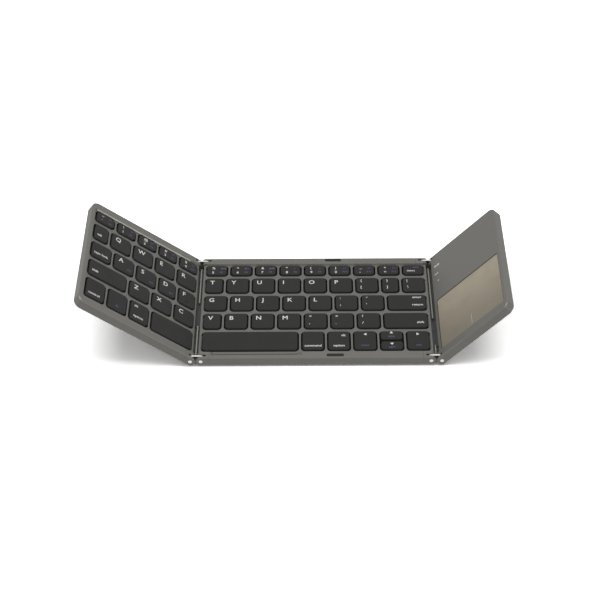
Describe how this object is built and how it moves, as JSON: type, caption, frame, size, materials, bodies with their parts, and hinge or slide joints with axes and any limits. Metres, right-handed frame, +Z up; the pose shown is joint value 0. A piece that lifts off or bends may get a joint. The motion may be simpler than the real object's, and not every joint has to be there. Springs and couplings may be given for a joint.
{
  "type": "folding keyboard",
  "caption": "Folding keyboard standing open with raised wings: a middle key panel, a left key panel and a right touch-pad panel, joined by twin-pin hinges that fold flat.",
  "frame": {"origin": "centre of the footprint of the whole, as it stands, on the desk", "axes": "+X to the right along the row of panels, +Y away from the typist, +Z up"},
  "size_m": [0.2726, 0.098, 0.0582],
  "materials": {
    "case": "satin anodised",
    "grille": "satin anodised",
    "sheet_rubber": "matte",
    "dark_rubber": "matte",
    "screw_steel": "satin",
    "pad_surface": "silky matte",
    "board": "satin",
    "cell": "satin",
    "socket_metal": "bright",
    "light_pipe": "clear",
    "hinge_steel": "bright satin",
    "spine_metal": "satin anodised",
    "cable_film": "matte",
    "keycap": "matte"
  },
  "bodies": {
    "middle_panel": {"middle_bottom_cover": "case", "middle_top_frame": "case", "middle_key_grille": "grille", "middle_switch_sheet": "sheet_rubber", "middle_bumpers": "dark_rubber", "middle_screws": "screw_steel", "middle_feet": "dark_rubber"},
    "left_fold": {"left_link_plates": "hinge_steel", "left_spine": "spine_metal", "left_hinge_pins": "hinge_steel", "left_flex_cable": "cable_film"},
    "left_wing": {"left_bottom_cover": "case", "left_top_frame": "case", "left_key_grille": "grille", "left_switch_sheet": "sheet_rubber", "left_screws": "screw_steel", "left_feet": "dark_rubber"},
    "right_fold": {"right_link_plates": "hinge_steel", "right_spine": "spine_metal", "right_hinge_pins": "hinge_steel", "right_flex_cable": "cable_film"},
    "right_wing": {"right_bottom_cover": "case", "right_top_plate": "case", "main_board": "board", "battery": "cell", "charging_port": "socket_metal", "indicator_lights": "light_pipe", "right_screws": "screw_steel", "right_feet": "dark_rubber"},
    "touch_pad": {"touch_pad": "pad_surface"},
    "middle_other_keys": {"middle_other_keys": "keycap"},
    "left_other_keys": {"left_other_keys": "keycap"},
    "key_t": {"key_t": "keycap"},
    "key_y": {"key_y": "keycap"},
    "key_u": {"key_u": "keycap"},
    "key_i": {"key_i": "keycap"},
    "key_o": {"key_o": "keycap"},
    "key_p": {"key_p": "keycap"},
    "key_g": {"key_g": "keycap"},
    "key_h": {"key_h": "keycap"},
    "key_j": {"key_j": "keycap"},
    "key_k": {"key_k": "keycap"},
    "key_l": {"key_l": "keycap"},
    "key_v": {"key_v": "keycap"},
    "key_b": {"key_b": "keycap"},
    "key_n": {"key_n": "keycap"},
    "key_m": {"key_m": "keycap"},
    "key_middle_space": {"key_middle_space": "keycap"},
    "key_q": {"key_q": "keycap"},
    "key_w": {"key_w": "keycap"},
    "key_e": {"key_e": "keycap"},
    "key_r": {"key_r": "keycap"},
    "key_a": {"key_a": "keycap"},
    "key_s": {"key_s": "keycap"},
    "key_d": {"key_d": "keycap"},
    "key_f": {"key_f": "keycap"},
    "key_z": {"key_z": "keycap"},
    "key_x": {"key_x": "keycap"},
    "key_c": {"key_c": "keycap"},
    "key_left_space": {"key_left_space": "keycap"}
  },
  "joints": [
    {"name": "fold_left_inner", "type": "hinge", "parent": "middle_panel", "child": "left_fold", "pos_m": [-0.05996, 0, 0.00445], "axis": [0, 1, 0], "range_deg": [0, 90], "deforming": ["left_flex_cable"]},
    {"name": "fold_left_outer", "type": "hinge", "parent": "left_fold", "child": "left_wing", "pos_m": [-0.06676, 0, 0.00445], "axis": [0, 1, 0], "range_deg": [-37.2, 52.8], "deforming": ["left_flex_cable"]},
    {"name": "fold_right_inner", "type": "hinge", "parent": "middle_panel", "child": "right_fold", "pos_m": [0.08704, 0, 0.00445], "axis": [0, -1, 0], "range_deg": [0, 90], "deforming": ["right_flex_cable"]},
    {"name": "fold_right_outer", "type": "hinge", "parent": "right_fold", "child": "right_wing", "pos_m": [0.09384, 0, 0.00445], "axis": [0, -1, 0], "range_deg": [-48.2, 41.8], "deforming": ["right_flex_cable"]},
    {"name": "touch_pad_click", "type": "slide", "parent": "right_wing", "child": "touch_pad", "axis": [0.7455, 0, -0.6665], "range_m": [0, 0.0003], "stiffness_N_per_m": 4000, "springref_m": -0.0001},
    {"name": "press_middle_other_keys", "type": "slide", "parent": "middle_panel", "child": "middle_other_keys", "axis": [0, 0, -1], "range_m": [0, 0.0012], "stiffness_N_per_m": 900, "springref_m": -0.0003},
    {"name": "press_left_other_keys", "type": "slide", "parent": "left_wing", "child": "left_other_keys", "axis": [-0.6046, 0, -0.7965], "range_m": [0, 0.0012], "stiffness_N_per_m": 600, "springref_m": -0.0003},
    {"name": "press_t", "type": "slide", "parent": "middle_panel", "child": "key_t", "axis": [0, 0, -1], "range_m": [0, 0.0012], "stiffness_N_per_m": 400, "springref_m": -0.0003},
    {"name": "press_y", "type": "slide", "parent": "middle_panel", "child": "key_y", "axis": [0, 0, -1], "range_m": [0, 0.0012], "stiffness_N_per_m": 400, "springref_m": -0.0003},
    {"name": "press_u", "type": "slide", "parent": "middle_panel", "child": "key_u", "axis": [0, 0, -1], "range_m": [0, 0.0012], "stiffness_N_per_m": 400, "springref_m": -0.0003},
    {"name": "press_i", "type": "slide", "parent": "middle_panel", "child": "key_i", "axis": [0, 0, -1], "range_m": [0, 0.0012], "stiffness_N_per_m": 400, "springref_m": -0.0003},
    {"name": "press_o", "type": "slide", "parent": "middle_panel", "child": "key_o", "axis": [0, 0, -1], "range_m": [0, 0.0012], "stiffness_N_per_m": 400, "springref_m": -0.0003},
    {"name": "press_p", "type": "slide", "parent": "middle_panel", "child": "key_p", "axis": [0, 0, -1], "range_m": [0, 0.0012], "stiffness_N_per_m": 400, "springref_m": -0.0003},
    {"name": "press_g", "type": "slide", "parent": "middle_panel", "child": "key_g", "axis": [0, 0, -1], "range_m": [0, 0.0012], "stiffness_N_per_m": 400, "springref_m": -0.0003},
    {"name": "press_h", "type": "slide", "parent": "middle_panel", "child": "key_h", "axis": [0, 0, -1], "range_m": [0, 0.0012], "stiffness_N_per_m": 400, "springref_m": -0.0003},
    {"name": "press_j", "type": "slide", "parent": "middle_panel", "child": "key_j", "axis": [0, 0, -1], "range_m": [0, 0.0012], "stiffness_N_per_m": 400, "springref_m": -0.0003},
    {"name": "press_k", "type": "slide", "parent": "middle_panel", "child": "key_k", "axis": [0, 0, -1], "range_m": [0, 0.0012], "stiffness_N_per_m": 400, "springref_m": -0.0003},
    {"name": "press_l", "type": "slide", "parent": "middle_panel", "child": "key_l", "axis": [0, 0, -1], "range_m": [0, 0.0012], "stiffness_N_per_m": 400, "springref_m": -0.0003},
    {"name": "press_v", "type": "slide", "parent": "middle_panel", "child": "key_v", "axis": [0, 0, -1], "range_m": [0, 0.0012], "stiffness_N_per_m": 400, "springref_m": -0.0003},
    {"name": "press_b", "type": "slide", "parent": "middle_panel", "child": "key_b", "axis": [0, 0, -1], "range_m": [0, 0.0012], "stiffness_N_per_m": 400, "springref_m": -0.0003},
    {"name": "press_n", "type": "slide", "parent": "middle_panel", "child": "key_n", "axis": [0, 0, -1], "range_m": [0, 0.0012], "stiffness_N_per_m": 400, "springref_m": -0.0003},
    {"name": "press_m", "type": "slide", "parent": "middle_panel", "child": "key_m", "axis": [0, 0, -1], "range_m": [0, 0.0012], "stiffness_N_per_m": 400, "springref_m": -0.0003},
    {"name": "press_middle_space", "type": "slide", "parent": "middle_panel", "child": "key_middle_space", "axis": [0, 0, -1], "range_m": [0, 0.0012], "stiffness_N_per_m": 400, "springref_m": -0.0003},
    {"name": "press_q", "type": "slide", "parent": "left_wing", "child": "key_q", "axis": [-0.6046, 0, -0.7965], "range_m": [0, 0.0012], "stiffness_N_per_m": 400, "springref_m": -0.0003},
    {"name": "press_w", "type": "slide", "parent": "left_wing", "child": "key_w", "axis": [-0.6046, 0, -0.7965], "range_m": [0, 0.0012], "stiffness_N_per_m": 400, "springref_m": -0.0003},
    {"name": "press_e", "type": "slide", "parent": "left_wing", "child": "key_e", "axis": [-0.6046, 0, -0.7965], "range_m": [0, 0.0012], "stiffness_N_per_m": 400, "springref_m": -0.0003},
    {"name": "press_r", "type": "slide", "parent": "left_wing", "child": "key_r", "axis": [-0.6046, 0, -0.7965], "range_m": [0, 0.0012], "stiffness_N_per_m": 400, "springref_m": -0.0003},
    {"name": "press_a", "type": "slide", "parent": "left_wing", "child": "key_a", "axis": [-0.6046, 0, -0.7965], "range_m": [0, 0.0012], "stiffness_N_per_m": 400, "springref_m": -0.0003},
    {"name": "press_s", "type": "slide", "parent": "left_wing", "child": "key_s", "axis": [-0.6046, 0, -0.7965], "range_m": [0, 0.0012], "stiffness_N_per_m": 400, "springref_m": -0.0003},
    {"name": "press_d", "type": "slide", "parent": "left_wing", "child": "key_d", "axis": [-0.6046, 0, -0.7965], "range_m": [0, 0.0012], "stiffness_N_per_m": 400, "springref_m": -0.0003},
    {"name": "press_f", "type": "slide", "parent": "left_wing", "child": "key_f", "axis": [-0.6046, 0, -0.7965], "range_m": [0, 0.0012], "stiffness_N_per_m": 400, "springref_m": -0.0003},
    {"name": "press_z", "type": "slide", "parent": "left_wing", "child": "key_z", "axis": [-0.6046, 0, -0.7965], "range_m": [0, 0.0012], "stiffness_N_per_m": 400, "springref_m": -0.0003},
    {"name": "press_x", "type": "slide", "parent": "left_wing", "child": "key_x", "axis": [-0.6046, 0, -0.7965], "range_m": [0, 0.0012], "stiffness_N_per_m": 400, "springref_m": -0.0003},
    {"name": "press_c", "type": "slide", "parent": "left_wing", "child": "key_c", "axis": [-0.6046, 0, -0.7965], "range_m": [0, 0.0012], "stiffness_N_per_m": 400, "springref_m": -0.0003},
    {"name": "press_left_space", "type": "slide", "parent": "left_wing", "child": "key_left_space", "axis": [-0.6046, 0, -0.7965], "range_m": [0, 0.0012], "stiffness_N_per_m": 400, "springref_m": -0.0003}
  ]
}
